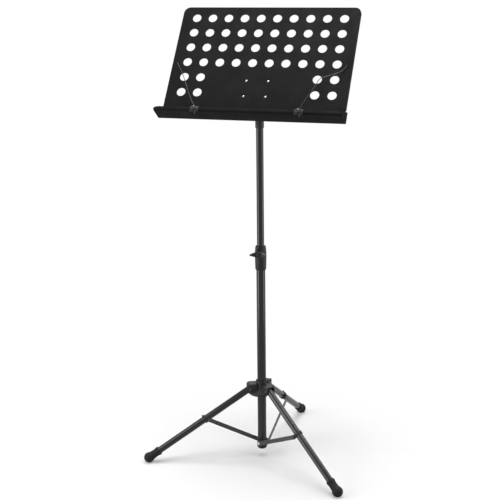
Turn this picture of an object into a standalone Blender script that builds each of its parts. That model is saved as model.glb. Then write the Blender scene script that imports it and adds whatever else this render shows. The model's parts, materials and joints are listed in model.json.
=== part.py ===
"""Orchestra music stand on a folding tripod, modelled at real size.

Metres, +Z up, standing on Z = 0. The music faces -Y and the post is vertical.
Every piece is its own object. A piece that moves hangs from an empty that
sits on its joint's axis:

    post -> hub slide -> three legs and the hub's knob
    post -> three struts, pinned to the bracket at the foot of the post
    post -> height slide -> head swivel -> desk tilt -> two page-holder arms
"""

import math

import bmesh
import bpy
from mathutils import Matrix, Vector

# ---------------------------------------------------------------- driving dimensions

# Where the post stands, so that the whole stand's box is centred on X = Y = 0.
POST_X = 0.0154
POST_Y = -0.0684

GAP = 0.0003              # between pieces that touch
RUN = 0.00035             # radial clearance of sliding and turning pieces

# Post
LOWER_RADIUS = 0.0125
UPPER_RADIUS = 0.0100
TUBE_WALL = 0.0012
LOWER_BOTTOM = 0.0300
LOWER_TOP = 0.6040
UPPER_BOTTOM = 0.4100
UPPER_TOP = 1.0000

# Tripod, each leg in a vertical plane through the post
LEG_SIDES = {"left": 204.6, "right": 324.6, "rear": 84.6}     # azimuth in degrees
HUB_Z = 0.2090            # height of the leg pivots when spread
LEG_PIVOT_R = 0.0340
LEG_SLOPE = math.radians(33.5)
LEG_RADIUS = 0.0095
LEG_INNER_END = -0.0045   # along the leg, from its pivot
LEG_OUTER_END = 0.3350
CLIP_REACH = 0.0040       # half length of the clip's band along the leg
EAR_RADIUS = 0.0067       # of the ear that a strut lies against
FOOT_RADIUS = 0.0150
FOOT_FLAT = 0.0008        # how far the rubber is flattened on the floor
FOOT_CENTRE = (HUB_Z - FOOT_RADIUS + FOOT_FLAT) / math.sin(LEG_SLOPE)     # along the leg

# Struts, flat bars that run beside the post and the legs
STRUT_Z = 0.0405
STRUT_R = 0.0050
STRUT_PLANE = -0.0160     # sideways from the leg's plane
STRUT_WIDTH = 0.0120
STRUT_THICK = 0.0020
STRUT_REACH = (0.1550, 0.0755)     # outwards and up, from pin to rivet
RIVET_RADIUS = 0.0025

# Height clamp
COLLAR_BOTTOM = 0.5610
COLLAR_TOP = 0.6300
COLLAR_KNOB_Z = 0.6110
COLLAR_TURN = math.radians(5.0)    # of the knob, from straight forward
SCREW_RADIUS = 0.0030

# Head
SOCKET_BOTTOM = 0.9570
SOCKET_TOP = 1.0220
SOCKET_RADIUS = 0.0118
SOCKET_SCREW_Z = 0.9900
TILT_Z = 1.0414
LUG_HALF = 0.0065         # half thickness of the head's lug
LUG_RADIUS = 0.0110
BOLT_RADIUS = 0.0030

# Desk, in its own frame: X across, Y up the desk, Z out of its front face,
# with the tilt pivot as origin
DESK_LEAN = math.radians(36.5)     # back from vertical
SHEET = 0.0012
FACE = 0.0392             # pivot to the front face
GRID_MID = 0.1022         # pivot to the middle of the hole grid
DESK_HALF = 0.2500
DESK_TOP = GRID_MID + 0.1519
DESK_BOTTOM = GRID_MID - 0.1985    # underside of the tray's shelf
TOP_CORNER = 0.0180
FLANGE = 0.0090           # the edges turned back round the panel
HOLE_RADIUS = 0.0122
HOLE_PITCH = 0.0462
ROW_PITCH = 0.0466
FULL_ROWS = 4
ALL_ROWS = 6
COLUMNS = 10
CORNER_COLUMNS = 2        # columns that go on below the full rows
BRACKET_SCREW_X = 0.0303
BRACKET_SCREW_Y = 0.0236

# Tray
TRAY_HALF = 0.2553
TRAY_BACK = 0.0377        # height of the flange behind the panel
TRAY_DEPTH = 0.0470
TRAY_LIP = 0.0110
TRAY_BEND = 0.0040        # inner bend radius
TRAY_END = 0.0180         # length over which the lip's ends round off

# Page holders
HOLDER_X = 0.1407
HOLDER_UP = 0.0051        # of the pivot, above the tray's underside
HOLDER_EYE = 0.0075       # the middle of the wire's eye, in front of the lip
HOLDER_BOSS = 0.0045      # the face that the wire turns on
WIRE_RADIUS = 0.0010
EYE_RADIUS = 0.0045
EYE_RISE = 0.0012         # half the height of the eye's one turn
EYE_STEPS = 16
CLIP_HALF = 0.0120        # half width of the clip over the lip
CLIP_WALL = 0.0016
CLIP_DROP = 0.0130        # how far its face hangs below the lip's top
CLIP_BOSS = 0.0058        # radius of the boss that the wire turns on
HOLDER_HOLE = 0.0023
TAIL = (0.0060, -0.0170)  # end of the wire below the screw

# Sides on each round shape
FINE = 24
MEDIUM = 18
SMALL = 12


# ---------------------------------------------------------------- helpers

def clear_scene():
    for old in list(bpy.data.objects):
        bpy.data.objects.remove(old, do_unlink=True)


def new_collection(name):
    made = bpy.data.collections.new(name)
    bpy.context.scene.collection.children.link(made)
    return made


def material(name, colour, roughness, metallic=0.0):
    made = bpy.data.materials.new(name)
    made.use_nodes = True
    shader = made.node_tree.nodes["Principled BSDF"]
    shader.inputs["Base Color"].default_value = (*colour, 1.0)
    shader.inputs["Roughness"].default_value = roughness
    shader.inputs["Metallic"].default_value = metallic
    return made


def frame(name, parent=None, at=(0, 0, 0), turn=None):
    """An empty that carries a moving body. It sits on the body's joint axis."""
    empty = bpy.data.objects.new(name, None)
    empty.empty_display_size = 0.02
    PARTS.objects.link(empty)
    empty.parent = parent
    empty.matrix_local = Matrix.Translation(at) @ (turn or Matrix.Identity(3)).to_4x4()
    return empty


def turn_about(axis, angle):
    return Matrix.Rotation(angle, 3, axis)


def add_piece(name, mesh, parent, look, at=(0, 0, 0), turn=None):
    piece = bpy.data.objects.new(name, mesh)
    PARTS.objects.link(piece)
    piece.parent = parent
    piece.matrix_local = Matrix.Translation(at) @ (turn or Matrix.Identity(3)).to_4x4()
    mesh.materials.clear()
    mesh.materials.append(look)
    return piece


def as_tool(piece):
    """Keeps a shape as a cutter or as an addition, out of the parts."""
    PARTS.objects.unlink(piece)
    TOOLS.objects.link(piece)
    piece.hide_render = True
    piece.display_type = "WIRE"
    return piece


def boolean(piece, tool, operation):
    step = piece.modifiers.new(operation.lower(), "BOOLEAN")
    step.operation = operation
    step.solver = "EXACT"
    step.object = tool


def cut(piece, tool):
    boolean(piece, tool, "DIFFERENCE")


def add(piece, tool):
    boolean(piece, tool, "UNION")


def smooth(piece, angle=35):
    piece.data.shade_smooth()
    piece.data.set_sharp_from_angle(angle=math.radians(angle))


def mesh_from(build):
    """Runs build(bm) on a new bmesh and returns it as a mesh."""
    bm = bmesh.new()
    build(bm)
    mesh = bpy.data.meshes.new("shape")
    bm.to_mesh(mesh)
    bm.free()
    return mesh


def box_mesh(low, high):
    size = [b - a for a, b in zip(low, high)]
    middle = [(a + b) / 2 for a, b in zip(low, high)]
    place = Matrix.Translation(middle) @ Matrix.Diagonal((*size, 1.0))
    return mesh_from(lambda bm: bmesh.ops.create_cube(bm, size=1.0, matrix=place))


def rod_mesh(radius, start, end, sides):
    """A solid round bar from start to end."""
    start, end = Vector(start), Vector(end)
    along = end - start
    aim = along.to_track_quat("Z", "Y").to_matrix().to_4x4()
    place = Matrix.Translation((start + end) / 2) @ aim
    return mesh_from(lambda bm: bmesh.ops.create_cone(
        bm, cap_ends=True, segments=sides, radius1=radius, radius2=radius,
        depth=along.length, matrix=place))


def turned(name, profile, parent, look, closed=False, sides=FINE, at=(0, 0, 0), turn=None):
    """A shape turned about Z. The profile is (radius, height), down the outer side.

    A closed profile makes a ring. An open one starts and ends on the axis.
    """
    mesh = bpy.data.meshes.new(name)
    edges = [(i, i + 1) for i in range(len(profile) - 1)]
    if closed:
        edges.append((len(profile) - 1, 0))
    mesh.from_pydata([(r, 0.0, z) for r, z in profile], edges, [])
    piece = add_piece(name, mesh, parent, look, at, turn)
    lathe = piece.modifiers.new("lathe", "SCREW")
    lathe.steps = lathe.render_steps = sides
    lathe.use_merge_vertices = True
    lathe.merge_threshold = 0.00001
    lathe.use_smooth_shade = True
    return piece


def pipe_profile(outer, inner, low, high):
    return [(outer, high), (outer, low), (inner, low), (inner, high)]


def plate(name, outlines, thickness, parent, look, at=(0, 0, 0), turn=None):
    """A flat piece from closed outlines in its XY plane, the first one outermost.

    It is centred on its plane.
    """
    curve = bpy.data.curves.new(name, "CURVE")
    curve.dimensions = "2D"
    curve.fill_mode = "BOTH"
    curve.extrude = thickness / 2
    for outline in outlines:
        spline = curve.splines.new("POLY")
        spline.points.add(len(outline) - 1)
        for point, (x, y) in zip(spline.points, outline):
            point.co = (x, y, 0.0, 1.0)
        spline.use_cyclic_u = True
    return add_piece(name, welded(curve), parent, look, at, turn)


def wire(name, points, radius, parent, look, at=(0, 0, 0), turn=None):
    """A round wire through the points, with flat ends."""
    curve = bpy.data.curves.new(name, "CURVE")
    curve.dimensions = "3D"
    curve.bevel_depth = radius
    curve.bevel_resolution = 2
    curve.use_fill_caps = True
    spline = curve.splines.new("POLY")
    spline.points.add(len(points) - 1)
    for point, place in zip(spline.points, points):
        point.co = (*place, 1.0)
    return add_piece(name, welded(curve), parent, look, at, turn)


def welded(curve):
    """The curve as a closed mesh, with its caps joined on."""
    drawn = bpy.data.objects.new("drawn", curve)
    bpy.context.scene.collection.objects.link(drawn)
    bpy.context.view_layer.update()
    seen = drawn.evaluated_get(bpy.context.evaluated_depsgraph_get())
    mesh = bpy.data.meshes.new_from_object(seen)
    bpy.data.objects.remove(drawn, do_unlink=True)
    bm = bmesh.new()
    bm.from_mesh(mesh)
    bmesh.ops.remove_doubles(bm, verts=bm.verts, dist=0.00001)
    bmesh.ops.recalc_face_normals(bm, faces=bm.faces)
    bm.to_mesh(mesh)
    bm.free()
    return mesh


def arc(centre, radius, start, end, steps):
    """Points along an arc, its angles in degrees."""
    angles = [math.radians(start + (end - start) * i / steps) for i in range(steps + 1)]
    return [(centre[0] + radius * math.cos(a), centre[1] + radius * math.sin(a))
            for a in angles]


def circle(centre, radius, sides, start=0.0):
    return arc(centre, radius, start, start + 360.0 - 360.0 / sides, sides - 1)


def stadium(length, width, steps=6):
    """The outline of a flat bar with round ends, centred on its two pin holes."""
    half = width / 2
    return arc((length, 0), half, -90, 90, steps) + arc((0, 0), half, 90, 270, steps)


# ---------------------------------------------------------------- looks

def make_looks():
    return {
        "black_paint": material("black_paint", (0.016, 0.016, 0.017), 0.55),
        "black_tube": material("black_tube", (0.018, 0.018, 0.019), 0.35),
        "black_plastic": material("black_plastic", (0.02, 0.02, 0.021), 0.5),
        "rubber": material("rubber", (0.018, 0.018, 0.018), 0.75),
        "zinc": material("zinc", (0.5, 0.5, 0.51), 0.4, 1.0),
        "brass": material("brass", (0.65, 0.5, 0.25), 0.4, 1.0),
        "wire": material("wire", (0.03, 0.03, 0.03), 0.4),
        "strut_steel": material("strut_steel", (0.09, 0.09, 0.095), 0.45, 0.4),
    }


# ---------------------------------------------------------------- post

def make_post(post):
    turned("lower_tube",
           pipe_profile(LOWER_RADIUS, LOWER_RADIUS - TUBE_WALL, LOWER_BOTTOM, LOWER_TOP),
           post, LOOKS["black_tube"], closed=True)
    make_base_bracket(post)
    make_collar(post)


def make_base_bracket(post):
    """Cup on the foot of the post, with a flat pad for each strut's pin."""
    look = LOOKS["black_plastic"]
    rim, low, high, dome = 0.0145, 0.0220, 0.0520, 0.0080
    profile = [(0.0, high), (rim, high)]
    profile += [(rim - dome + x, low + dome + z) for x, z in arc((0, 0), dome, 0, -90, 5)]
    profile.append((0.0, low))
    cup = turned("base_bracket", profile, post, look)
    face = STRUT_PLANE + STRUT_THICK / 2 + GAP
    pins = []
    for side, azimuth in LEG_SIDES.items():
        around = turn_about("Z", math.radians(azimuth))
        low_corner = (STRUT_R - 0.0070, face, STRUT_Z - 0.0080)
        high_corner = (STRUT_R + 0.0070, -0.0080, STRUT_Z + 0.0080)
        pad = add_piece(f"pad_{side}", box_mesh(low_corner, high_corner), post, look, turn=around)
        add(cup, as_tool(pad))
        hole = rod_mesh(RIVET_RADIUS + GAP, (STRUT_R, face - 0.01, STRUT_Z),
                        (STRUT_R, -0.0132, STRUT_Z), SMALL)
        pins.append(as_tool(add_piece(f"pin_hole_{side}", hole, post, look, turn=around)))
        make_base_pin(post, side, around)
    bore = rod_mesh(LOWER_RADIUS + RUN, (0, 0, LOWER_BOTTOM - GAP), (0, 0, high + 0.01), FINE)
    cut(cup, as_tool(add_piece("post_bore", bore, post, look)))
    for pin_hole in pins:
        cut(cup, pin_hole)


def rivet_profile(shank, head, head_height, length):
    """Round-headed rivet, its head's underside at Z = 0 and its shank below."""
    crown = [(0.0, head_height), (head * 0.55, head_height * 0.85), (head * 0.9, head_height * 0.45)]
    return crown + [(head, 0.0), (shank, 0.0), (shank, -length), (0.0, -length)]


def make_base_pin(post, side, around):
    """The pin a strut turns on. Its head holds the strut against the pad."""
    outside = STRUT_PLANE - STRUT_THICK / 2 - GAP
    depth = -0.0135 - outside
    turned(f"base_pin_{side}", rivet_profile(RIVET_RADIUS, 0.0045, 0.0018, depth),
           post, LOOKS["zinc"], sides=SMALL,
           at=around @ Vector((STRUT_R, outside, STRUT_Z)),
           turn=around @ turn_about("X", math.radians(90)))


def make_collar(post):
    """Clamp where the upper tube leaves the lower one: a sleeve with a block for its screw."""
    look = LOOKS["black_plastic"]
    around = turn_about("Z", COLLAR_TURN)
    low, top = COLLAR_BOTTOM, COLLAR_TOP
    bore, mast_bore, shoulder = LOWER_RADIUS + GAP, UPPER_RADIUS + RUN, LOWER_TOP + GAP
    profile = [(0.0, top), (0.0134, top), (0.0142, top - 0.0010), (0.0154, top - 0.0110),
               (0.0161, top - 0.0260), (0.0158, top - 0.0420), (0.0154, low + 0.0050),
               (0.0148, low + 0.0014), (0.0136, low), (0.0, low)]
    collar = turned("height_collar", profile, post, look)

    screw_z = COLLAR_KNOB_Z
    block = box_mesh((-0.0062, -0.0195, screw_z - 0.0130), (0.0062, -0.0080, screw_z + 0.0135))
    add(collar, as_tool(add_piece("collar_block", block, post, look, turn=around)))
    hole = rod_mesh(0.0055, (0, -0.0060, screw_z), (0, -0.0300, screw_z), MEDIUM)
    cut(collar, as_tool(add_piece("collar_screw_hole", hole, post, look, turn=around)))
    wide = rod_mesh(bore, (0, 0, low - 0.01), (0, 0, shoulder), FINE)
    cut(collar, as_tool(add_piece("collar_tube_bore", wide, post, look)))
    tight = rod_mesh(mast_bore, (0, 0, shoulder - 0.001), (0, 0, top + 0.01), FINE)
    cut(collar, as_tool(add_piece("collar_mast_bore", tight, post, look)))
    slit = box_mesh((-0.0008, -0.0300, screw_z + 0.0040), (0.0008, -0.0050, top + 0.0100))
    cut(collar, as_tool(add_piece("collar_slit", slit, post, look, turn=around)))

    forward = around @ turn_about("X", math.radians(90))
    turned("collar_insert", pipe_profile(0.0052, SCREW_RADIUS + RUN, 0.0135, 0.0190),
           post, LOOKS["brass"], closed=True, sides=MEDIUM, at=(0, 0, screw_z), turn=forward)

    sleeve = LOWER_RADIUS - TUBE_WALL - RUN
    turned("guide_bush", pipe_profile(sleeve, UPPER_RADIUS + RUN, LOWER_TOP - 0.0300, LOWER_TOP),
           post, look, closed=True)

    knob_axis = frame("collar_knob_axis", post, at=(0, 0, screw_z), turn=forward)
    make_wing_knob("collar_knob", knob_axis, tip=UPPER_RADIUS + GAP, seat=0.0198,
                   boss_length=0.0130, reach=0.0265, sweep=28, root=0.0090)


def make_wing_knob(name, parent, tip, seat, boss_length, reach, sweep, root):
    """Clamp screw with two tapered wings. Its axis is Z and it points inwards at Z = tip."""
    boss = seat + boss_length
    boss_radius = root * 0.82
    profile = [(0.0, boss), (boss_radius * 0.7, boss), (boss_radius, boss - 0.0015),
               (boss_radius, seat), (SCREW_RADIUS, seat), (SCREW_RADIUS, tip), (0.0, tip)]
    knob = turned(name, profile, parent, LOOKS["black_plastic"], sides=MEDIUM)
    end = 0.0022
    outline = [(0.0, -root), (0.0, root), (0.004, root), (reach - end, end)]
    outline += arc((reach - end, 0), end, 60, -60, 4) + [(reach - end, -end), (0.004, -root)]
    for number, way in enumerate((0, 180)):
        upright = turn_about("Z", math.radians(way)) @ turn_about("Y", math.radians(-sweep))
        wing = plate(f"{name}_wing_{number + 1}", [outline], 0.0042, parent,
                     LOOKS["black_plastic"], at=(0, 0, seat + 0.0050), turn=upright)
        add(knob, as_tool(wing))
    smooth(knob)
    return knob


# ---------------------------------------------------------------- tripod

def make_hub(post):
    """Sliding hub: a sleeve on the post, a round skirt and three forks for the legs."""
    look = LOOKS["black_plastic"]
    slide = frame("hub_slide_axis", post, at=(0, 0, HUB_Z))
    bore, sleeve, top, low = LOWER_RADIUS + RUN, 0.0168, 0.0245, -0.0158
    skirt = [(sleeve, 0.0010), (0.0370, -0.0098), (0.0375, -0.0113), (0.0370, -0.0148)]
    profile = [(0.0, top), (sleeve - 0.0015, top), (sleeve - 0.0005, top - 0.0010)]
    profile += skirt + [(0.0330, low), (0.0, low)]
    hub = turned("leg_hub", profile, slide, look)

    arm = [(0.0145, -0.0120), (0.0345, -0.0120)]
    arm += arc((0.0345, -0.0040), 0.0080, -60, 0, 3) + arc((0.0345, 0.0085), 0.0080, 0, 90, 4)
    arm += [(0.0145, 0.0165)]
    slots, holes = [], []
    for side, azimuth in LEG_SIDES.items():
        around = turn_about("Z", math.radians(azimuth))
        fork = plate(f"fork_{side}", [arm], 0.0272, slide, look,
                     turn=around @ turn_about("X", math.radians(90)))
        add(hub, as_tool(fork))
        slot = box_mesh((0.0190, -0.0101, -0.0400), (0.0700, 0.0101, 0.0114))
        slots.append(as_tool(add_piece(f"slot_{side}", slot, slide, look, turn=around)))
        hole = rod_mesh(RIVET_RADIUS + GAP, (LEG_PIVOT_R, -0.0200, 0), (LEG_PIVOT_R, 0.0200, 0), SMALL)
        holes.append(as_tool(add_piece(f"pivot_hole_{side}", hole, slide, look, turn=around)))
        make_leg_pin(slide, side, around)
    for tool in slots + holes:
        cut(hub, tool)

    lock = turn_about("Z", math.radians(LEG_SIDES["rear"] - 60.0))
    boss = rod_mesh(0.0058, (0.0130, 0, 0.0185), (0.0190, 0, 0.0185), MEDIUM)
    add(hub, as_tool(add_piece("hub_boss", boss, slide, look, turn=lock)))
    screw_hole = rod_mesh(SCREW_RADIUS + RUN, (0.0, 0, 0.0185), (0.0300, 0, 0.0185), SMALL)
    cut(hub, as_tool(add_piece("hub_screw_hole", screw_hole, slide, look, turn=lock)))
    clear = rod_mesh(bore, (0, 0, low - 0.01), (0, 0, top + 0.01), FINE)
    cut(hub, as_tool(add_piece("hub_bore", clear, slide, look)))

    knob_axis = frame("hub_knob_axis", slide, at=(0, 0, 0.0185),
                      turn=lock @ turn_about("Y", math.radians(90)))
    make_wing_knob("hub_knob", knob_axis, tip=LOWER_RADIUS + GAP, seat=0.0193,
                   boss_length=0.0050, reach=0.0085, sweep=20, root=0.0042)
    return slide


def make_leg_pin(slide, side, around):
    """The pin a leg swings on, through both cheeks of its fork."""
    half, head = 0.0136 + GAP, 0.0016
    profile = [(0.0, half + head), (0.0032, half + head * 0.8), (0.0044, half),
               (RIVET_RADIUS, half), (RIVET_RADIUS, -half),
               (0.0044, -half), (0.0032, -half - head * 0.8), (0.0, -half - head)]
    turned(f"leg_pin_{side}", profile, slide, LOOKS["zinc"], sides=SMALL,
           at=around @ Vector((LEG_PIVOT_R, 0, 0)), turn=around @ turn_about("X", math.radians(90)))


def make_leg(slide, side):
    """A leg with its foot and the clip its strut is riveted to. X runs down the leg."""
    around = turn_about("Z", math.radians(LEG_SIDES[side]))
    swing = frame(f"leg_axis_{side}", slide, at=around @ Vector((LEG_PIVOT_R, 0, 0)),
                  turn=around @ turn_about("Y", LEG_SLOPE))
    lengthwise = turn_about("Y", math.radians(90))

    inner = LEG_RADIUS - TUBE_WALL
    leg = turned(f"leg_{side}", pipe_profile(LEG_RADIUS, inner, LEG_INNER_END, LEG_OUTER_END),
                 swing, LOOKS["black_tube"], closed=True, sides=MEDIUM, turn=lengthwise)
    across = rod_mesh(RIVET_RADIUS + GAP, (0, -0.0150, 0), (0, 0.0150, 0), SMALL)
    cut(leg, as_tool(add_piece(f"leg_hole_{side}", across, swing, LOOKS["black_tube"])))

    make_foot(swing, side, lengthwise)
    make_leg_clip(swing, side, lengthwise)


def make_foot(swing, side, lengthwise):
    """Rubber bulb pushed over the end of the leg, flattened where it stands."""
    bore, mouth, floor = LEG_RADIUS + GAP, 0.3160, LEG_OUTER_END + GAP
    tail = arc((FOOT_CENTRE, 0), FOOT_RADIUS, 0, 126, 8)
    bulb = [(radius, along) for along, radius in tail]
    bulb[0] = (0.0, FOOT_CENTRE + FOOT_RADIUS)
    neck = [(0.0113, 0.3350), (0.0110, 0.3270), (0.0122, 0.3235), (0.0122, 0.3175), (0.0113, mouth)]
    outer = bulb + neck
    inner = [(bore, mouth), (bore, floor), (0.0, floor)]
    foot = turned(f"foot_{side}", outer + inner, swing, LOOKS["rubber"],
                  sides=MEDIUM, turn=lengthwise)
    under = box_mesh((-0.6, -0.6, -0.05), (0.6, 0.6, 0.0))
    floor_block = add_piece(f"floor_{side}", under, STAND, LOOKS["rubber"])
    cut(foot, as_tool(floor_block))


def strut_rivet_in_leg():
    """Where the strut's rivet lies in the leg's frame: (along, below)."""
    out = STRUT_R + STRUT_REACH[0] - LEG_PIVOT_R
    down = HUB_Z - STRUT_Z - STRUT_REACH[1]
    along = out * math.cos(LEG_SLOPE) + down * math.sin(LEG_SLOPE)
    below = down * math.cos(LEG_SLOPE) - out * math.sin(LEG_SLOPE)
    return along, below


def make_leg_clip(swing, side, lengthwise):
    """Band round the leg, with an ear beside it that the strut lies against."""
    look = LOOKS["black_plastic"]
    along, below = strut_rivet_in_leg()
    half, bore, rim = CLIP_REACH, LEG_RADIUS + GAP, 0.0116
    band = [(0.0, along + half), (rim, along + half), (rim, along - half), (0.0, along - half)]
    clip = turned(f"leg_clip_{side}", band, swing, look, sides=MEDIUM, turn=lengthwise)
    face = STRUT_PLANE + STRUT_THICK / 2 + GAP
    ear = plate(f"ear_{side}", [circle((0, 0), EAR_RADIUS, MEDIUM, 4.0)], 0.0040, swing, look,
                at=(along, face + 0.0020, -below), turn=turn_about("X", math.radians(90)))
    add(clip, as_tool(ear))
    inset = 0.0006
    web = box_mesh((along - half + inset, face + inset, -below), (along + half - inset, -0.0060, 0.0030))
    add(clip, as_tool(add_piece(f"web_{side}", web, swing, look)))
    nub = rod_mesh(0.0024, (along, 0, rim - 0.0010), (along, 0, rim + 0.0022), SMALL)
    add(clip, as_tool(add_piece(f"nub_{side}", nub, swing, look)))
    bore_rod = rod_mesh(bore, (along - 0.02, 0, 0), (along + 0.02, 0, 0), MEDIUM)
    cut(clip, as_tool(add_piece(f"clip_bore_{side}", bore_rod, swing, look)))


def make_strut(post, side):
    """Flat bar from the foot of the post to the leg. X runs from its pin to its rivet."""
    around = turn_about("Z", math.radians(LEG_SIDES[side]))
    rise = math.atan2(STRUT_REACH[1], STRUT_REACH[0])
    length = math.hypot(*STRUT_REACH)
    swing = frame(f"strut_axis_{side}", post, at=around @ Vector((STRUT_R, 0, STRUT_Z)),
                  turn=around @ turn_about("Y", -rise))
    flat = turn_about("X", math.radians(90))
    holes = [circle((x, 0), RIVET_RADIUS + GAP, SMALL) for x in (0.0, length)]
    plate(f"strut_{side}", [stadium(length, STRUT_WIDTH)] + holes, STRUT_THICK, swing,
          LOOKS["strut_steel"], at=(0, STRUT_PLANE, 0), turn=flat)
    outside = STRUT_PLANE - STRUT_THICK / 2 - GAP
    turned(f"strut_rivet_{side}", rivet_profile(RIVET_RADIUS, 0.0045, 0.0018, STRUT_THICK + GAP),
           swing, LOOKS["zinc"], sides=SMALL, at=(length, outside, 0), turn=flat)


# ---------------------------------------------------------------- mast and head

def make_mast(post):
    mast = frame("height_slide_axis", post)
    turned("upper_tube",
           pipe_profile(UPPER_RADIUS, UPPER_RADIUS - TUBE_WALL, UPPER_BOTTOM, UPPER_TOP),
           mast, LOOKS["black_tube"], closed=True)
    shoe = LOWER_RADIUS - TUBE_WALL - RUN
    stem = UPPER_RADIUS - TUBE_WALL - GAP
    end = UPPER_BOTTOM - GAP
    profile = [(0.0, end + 0.0180), (stem, end + 0.0180), (stem, end), (shoe, end),
               (shoe, end - 0.0080), (shoe - 0.0015, end - 0.0100), (0.0, end - 0.0100)]
    turned("mast_plug", profile, mast, LOOKS["black_plastic"])
    return mast


def make_head(mast):
    """Socket on top of the mast, with the flat lug that the desk tilts on."""
    look = LOOKS["black_plastic"]
    head = frame("desk_swivel_axis", mast)
    top, low, rim = SOCKET_TOP, SOCKET_BOTTOM, SOCKET_RADIUS
    profile = [(0.0, top), (rim - 0.0030, top), (rim, top - 0.0030), (rim, low + 0.0010),
               (rim - 0.0008, low), (0.0, low)]
    socket = turned("head_socket", profile, head, look)
    lug = arc((0, 0), LUG_RADIUS, 0, 180, 10)
    lug += [(-LUG_RADIUS, top - 0.0080 - TILT_Z), (LUG_RADIUS, top - 0.0080 - TILT_Z)]
    upright = turn_about("Z", math.radians(90)) @ turn_about("X", math.radians(90))
    lug_piece = plate("lug", [lug], 2 * LUG_HALF, head, look, at=(0, 0, TILT_Z), turn=upright)
    add(socket, as_tool(lug_piece))
    bolt_hole = rod_mesh(BOLT_RADIUS + RUN, (-0.02, 0, TILT_Z), (0.02, 0, TILT_Z), SMALL)
    cut(socket, as_tool(add_piece("lug_hole", bolt_hole, head, look)))
    bore = rod_mesh(UPPER_RADIUS + RUN, (0, 0, low - 0.01), (0, 0, UPPER_TOP + GAP), FINE)
    cut(socket, as_tool(add_piece("socket_bore", bore, head, look)))
    boss = rod_mesh(0.0060, (0, 0.0108, SOCKET_SCREW_Z), (0, 0.0170, SOCKET_SCREW_Z), SMALL)
    add(socket, as_tool(add_piece("socket_boss", boss, head, look)))
    hole_ends = [(0, y, SOCKET_SCREW_Z) for y in (0.0050, 0.0250)]
    hole = rod_mesh(SCREW_RADIUS + RUN, *hole_ends, SMALL)
    cut(socket, as_tool(add_piece("socket_screw_hole", hole, head, look)))

    screw_axis = frame("socket_screw_axis", head, at=(0, 0, SOCKET_SCREW_Z),
                       turn=turn_about("X", math.radians(-90)))
    make_wing_knob("socket_screw", screw_axis, tip=UPPER_RADIUS + GAP, seat=0.0173,
                   boss_length=0.0080, reach=0.0130, sweep=25, root=0.0052)
    return head


# ---------------------------------------------------------------- desk

def make_desk(head):
    tilt = frame("desk_tilt_axis", head, at=(0, 0, TILT_Z),
                 turn=turn_about("X", math.radians(90) - DESK_LEAN))
    make_tilt_bolt(tilt)
    make_desk_bracket(tilt)
    make_panel(tilt)
    make_tray(tilt)
    for side, way in (("left", -1), ("right", 1)):
        make_holder(tilt, side, way)
    return tilt


EAR_IN, EAR_OUT = 0.0082, 0.0102       # inner and outer face of the bracket's ears


def make_tilt_bolt(tilt):
    """Bolt through the ears and the lug, its washers, and the knob that clamps it."""
    sideways = turn_about("Y", math.radians(90))
    shank_end = 0.0300
    head_face = -EAR_OUT - GAP
    profile = [(0.0, shank_end), (BOLT_RADIUS, shank_end), (BOLT_RADIUS, head_face),
               (0.0058, head_face), (0.0058, head_face - 0.0036), (0.0050, head_face - 0.0042),
               (0.0, head_face - 0.0042)]
    turned("tilt_bolt", profile, tilt, LOOKS["zinc"], sides=SMALL, turn=sideways)

    inner, outer = LUG_HALF + GAP, EAR_IN - GAP
    for number, (low, high) in enumerate(((-outer, -inner), (inner, outer))):
        turned(f"tilt_washer_{number + 1}", pipe_profile(0.0080, BOLT_RADIUS + GAP, low, high),
               tilt, LOOKS["zinc"], closed=True, sides=SMALL, turn=sideways)

    knob_axis = frame("tilt_knob_axis", tilt)
    lobes, points = 6, 48
    turns = [2 * math.pi * i / points for i in range(points)]
    rim = [(0.0135 + 0.0012 * math.cos(lobes * a), a) for a in turns]
    outline = [(r * math.cos(a), r * math.sin(a)) for r, a in rim]
    start = EAR_OUT + GAP
    knob = plate("tilt_knob", [outline], 0.0120, knob_axis, LOOKS["black_plastic"],
                 at=(start + 0.0115, 0, 0), turn=sideways)
    collar = rod_mesh(0.0075, (start, 0, 0), (start + 0.0070, 0, 0), MEDIUM)
    add(knob, as_tool(add_piece("knob_collar", collar, knob_axis, LOOKS["black_plastic"])))
    bore = rod_mesh(BOLT_RADIUS + RUN, (0, 0, 0), (shank_end + GAP, 0, 0), SMALL)
    cut(knob, as_tool(add_piece("knob_bore", bore, knob_axis, LOOKS["black_plastic"])))


def make_desk_bracket(tilt):
    """Channel behind the panel: a screwed-on plate with two ears round the lug."""
    look = LOOKS["black_paint"]
    back = FACE - SHEET - GAP
    plate_thick = EAR_OUT - EAR_IN
    base = box_mesh((-0.0400, -0.0330, back - plate_thick), (0.0400, 0.0330, back))
    bracket = add_piece("desk_bracket", base, tilt, look)
    profile = arc((0, 0), 0.0105, 180, 360, 10)
    profile += [(0.0280, back - 0.0060), (0.0280, back - 0.0005)]
    profile += [(-0.0280, back - 0.0005), (-0.0280, back - 0.0060)]
    upright = turn_about("Z", math.radians(90)) @ turn_about("X", math.radians(90))
    for number, way in enumerate((-1, 1)):
        ear = plate(f"bracket_ear_{number + 1}", [profile], plate_thick, tilt, look,
                    at=(way * (EAR_IN + EAR_OUT) / 2, 0, 0), turn=upright)
        add(bracket, as_tool(ear))
    bolt_hole = rod_mesh(BOLT_RADIUS + GAP, (-0.03, 0, 0), (0.03, 0, 0), SMALL)
    cut(bracket, as_tool(add_piece("ear_holes", bolt_hole, tilt, look)))
    for number, (x, y) in enumerate(bracket_screws()):
        hole = rod_mesh(0.0023, (x, y, back - 0.02), (x, y, back + 0.01), SMALL)
        cut(bracket, as_tool(add_piece(f"bracket_hole_{number + 1}", hole, tilt, look)))
        make_bracket_screw(tilt, number + 1, x, y, back - plate_thick)


def bracket_screws():
    return [(sx * BRACKET_SCREW_X, sy * BRACKET_SCREW_Y) for sy in (1, -1) for sx in (-1, 1)]


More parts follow.
